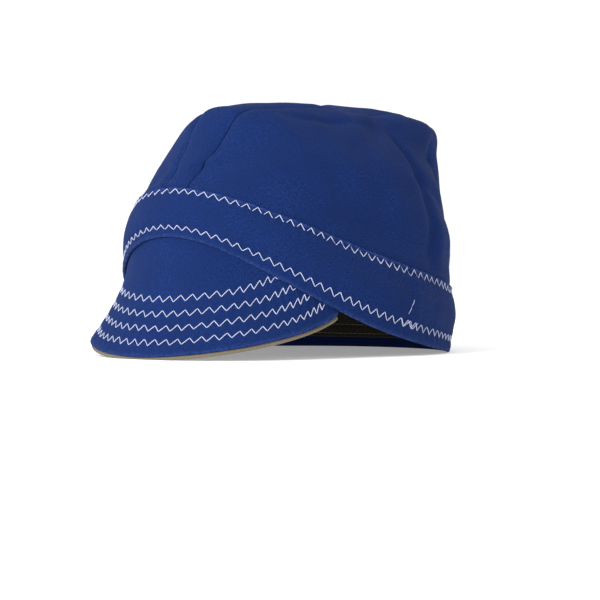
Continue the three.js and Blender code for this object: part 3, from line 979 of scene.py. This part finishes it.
def zigzag_on_peak(name, distance, rng, under=False):
    """A row of zigzag along the peak, parallel to its edge."""
    lines = [peak_row_places(distance + side * ZIGZAG_WIDTH / 2) for side in (1, -1)]
    low = lines[1][0, 0]
    high = lines[1][-1, 0]
    share = np.linspace(low, high, 400)
    middle = peak_row_places(distance)
    length = arc_length(peak_point(share, np.interp(share, middle[:, 0], middle[:, 1])))
    count = int(length[-1] / HALF_PITCH)
    closeness = np.linspace(-1, 1, count + 1)
    ways = length[-1] * (0.5 + 0.5 * (closeness - CROWDING * closeness**3) / (1 - CROWDING))
    ways = ways + rng.normal(0, PEAK_SCATTER_ALONG, count + 1)
    shares = np.interp(ways, length, share)
    ts = np.stack([np.interp(shares, line[:, 0], line[:, 1]) for line in lines])
    t = ts[np.arange(count + 1) % 2, np.arange(count + 1)]
    t = t + rng.normal(0, PEAK_SCATTER_ACROSS, count + 1)

    def surface(places):
        s, at = places[:, 0], places[:, 1]
        relief = peak_relief(s, at, from_edge(s, at))
        if under:
            return peak_point(s, at, LINING_INNER - UNDERSIDE_SHARE * relief), -peak_normal(s, at)
        return peak_point(s, at, relief + peak_unevenness(s, at)), peak_normal(s, at)

    material = khaki_thread if under else pale_thread
    return stitches(name, np.stack([shares, t], -1), surface, THREAD, material)


def straight_row_on_sweatband(name, row):
    """A row of straight stitches round the inside of the sweatband."""
    angles, _ = around_rim(190, row)
    heights = np.full(len(angles), row)

    def surface(places):
        angle, height = places[:, 0], places[:, 1]
        point = cap_point(angle, level_above(height), -SWEATBAND_CLOTH + SWEATBAND_ROW_DEPTH)
        return point, -form_normal(angle, level_above(height))

    return stitches(name, np.stack([angles, heights], -1), surface, THREAD * 0.75, khaki_thread)


def join_stitch():
    """The short straight stitch that closes the ends of the band."""
    dense = np.linspace(0, 360, 1441)
    length = arc_length(cap_point(dense, 0.3 + 0 * dense))
    places = np.array([(JOIN_ANGLE + 1.0, 0.0205), (JOIN_ANGLE + 0.2, 0.0165), (JOIN_ANGLE - 0.6, 0.0125)])

    def surface(at):
        along = np.interp(at[:, 0], dense, length)
        return band_face(at[:, 0], at[:, 1], along), form_normal(at[:, 0], level_above(at[:, 1]))

    return stitches("band_join_stitch", places, surface, THREAD * 0.65, pale_thread)


def edge_wear(lines, reach):
    """A function of place that is 1 on any of the lines and fades within a reach."""
    placed = [laid(line) for line in lines]

    def amounts(points):
        nearest = np.min([distance_to(spots, points) for spots in placed], axis=0)
        return np.exp(-((nearest / reach) ** 2))

    return amounts


rng = np.random.default_rng(17)
rim_line = cap_point(np.linspace(0, 360, 361), 0.0, BAND_OUTER)
band_top_line = cap_point(np.linspace(0, 360, 361), 1.0, BAND_OUTER)

left_panel = crown_side("crown_side_left", 1)
right_panel = crown_side("crown_side_right", -1)
strip_piece = crown_strip()
band_piece = band()
sweatband_piece = sweatband()
cover_piece = peak_cover()
lining_piece = peak_lining()
for piece, line, reach in (
    (band_piece, [rim_line, band_top_line], 0.0012),
    (cover_piece, [edge_line], 0.0022),
):
    set_wear(piece, edge_wear(line, reach))

for label, row in zip(("hem", "top"), BAND_ROWS):
    zigzag_on_band("zigzag_band_" + label, row, rng, JOIN_ANGLE, 1.0)
zigzag_on_band("zigzag_band_lap", BAND_ROWS[0], rng, JOIN_ANGLE - LAP_TURN, LAP_SHARE)
for number, distance in enumerate(PEAK_ROWS, 1):
    zigzag_on_peak(f"zigzag_peak_{number}", distance, rng)
    zigzag_on_peak(f"zigzag_peak_under_{number}", distance, rng, under=True)
for number, row in enumerate(SWEATBAND_ROWS, 1):
    straight_row_on_sweatband(f"sweatband_row_{number}", row)
join_stitch()

# Floor, light and camera
FLOOR_RADIUS = 7.0
WALL_CURVE = 2.5
PHOTO_SPAN = 0.341  # what the photograph's width covers at the cap
DISTANCE = 1.8
AZIMUTH = 42
ELEVATION = 1.5
AIM = Vector((0.0, 0.0, 0.03))
AIM_RIGHT = 0.012


def floor():
    """A pale floor that curves up far away on all sides."""
    bpy.ops.object.select_all(action="DESELECT")
    bpy.ops.mesh.primitive_circle_add(vertices=96, radius=FLOOR_RADIUS, fill_type="NGON", location=(0, 0, 0))
    disc = bpy.context.object
    disc.name = "floor"
    built = bmesh.new()
    built.from_mesh(disc.data)
    rim = [edge for edge in built.edges if edge.is_boundary]
    for step in range(1, 13):
        angle = math.radians(90 * step / 12)
        grown = bmesh.ops.extrude_edge_only(built, edges=rim)["geom"]
        verts = [v for v in grown if isinstance(v, bmesh.types.BMVert)]
        rim = [e for e in grown if isinstance(e, bmesh.types.BMEdge)]
        radius = FLOOR_RADIUS + WALL_CURVE * math.sin(angle)
        for v in verts:
            flat = Vector((v.co.x, v.co.y, 0)).normalized() * radius
            v.co = Vector((flat.x, flat.y, WALL_CURVE * (1 - math.cos(angle))))
    built.to_mesh(disc.data)
    built.free()
    for polygon in disc.data.polygons:
        polygon.use_smooth = True
    material, _, shader = principled("pale_floor", (0.9, 0.9, 0.9), 0.8)
    shader.inputs["Emission Color"].default_value = (1, 1, 1, 1)
    shader.inputs["Emission Strength"].default_value = 0.3
    disc.data.materials.append(material)


def direction_to(azimuth, elevation):
    """The direction from the cap to a place round it, in degrees from the front and above the floor."""
    a, e = math.radians(azimuth), math.radians(elevation)
    return Vector((math.sin(a) * math.cos(e), -math.cos(a) * math.cos(e), math.sin(e)))


def area_light(name, azimuth, elevation, distance, size, power):
    """A soft square light that looks at the cap from a direction."""
    data = bpy.data.lights.new(name, "AREA")
    data.shape = "SQUARE"
    data.size = size
    data.energy = power
    light = bpy.data.objects.new(name, data)
    light.location = direction_to(azimuth, elevation) * distance
    light.rotation_euler = light.location.to_track_quat("Z", "Y").to_euler()
    bpy.context.scene.collection.objects.link(light)


def camera():
    towards = direction_to(AZIMUTH, ELEVATION)
    right = Vector((math.cos(math.radians(AZIMUTH)), math.sin(math.radians(AZIMUTH)), 0))
    data = bpy.data.cameras.new("camera")
    data.sensor_width = 36
    data.lens = 36 * DISTANCE / PHOTO_SPAN
    data.clip_end = 60
    view = bpy.data.objects.new("camera", data)
    view.location = AIM + right * AIM_RIGHT + towards * DISTANCE
    view.rotation_euler = towards.to_track_quat("Z", "Y").to_euler()
    bpy.context.scene.collection.objects.link(view)
    bpy.context.scene.camera = view


floor()
area_light("key", azimuth=0, elevation=24, distance=2.2, size=1.1, power=52)
area_light("fill", azimuth=105, elevation=22, distance=2.4, size=1.4, power=7)
area_light("top", azimuth=60, elevation=80, distance=2.0, size=1.4, power=5)
camera()
world = bpy.data.worlds.new("studio")
bpy.context.scene.world = world
world.use_nodes = True
world.node_tree.nodes["Background"].inputs["Color"].default_value = (1, 1, 1, 1)
world.node_tree.nodes["Background"].inputs["Strength"].default_value = 0.72
bpy.context.scene.view_settings.view_transform = "Standard"
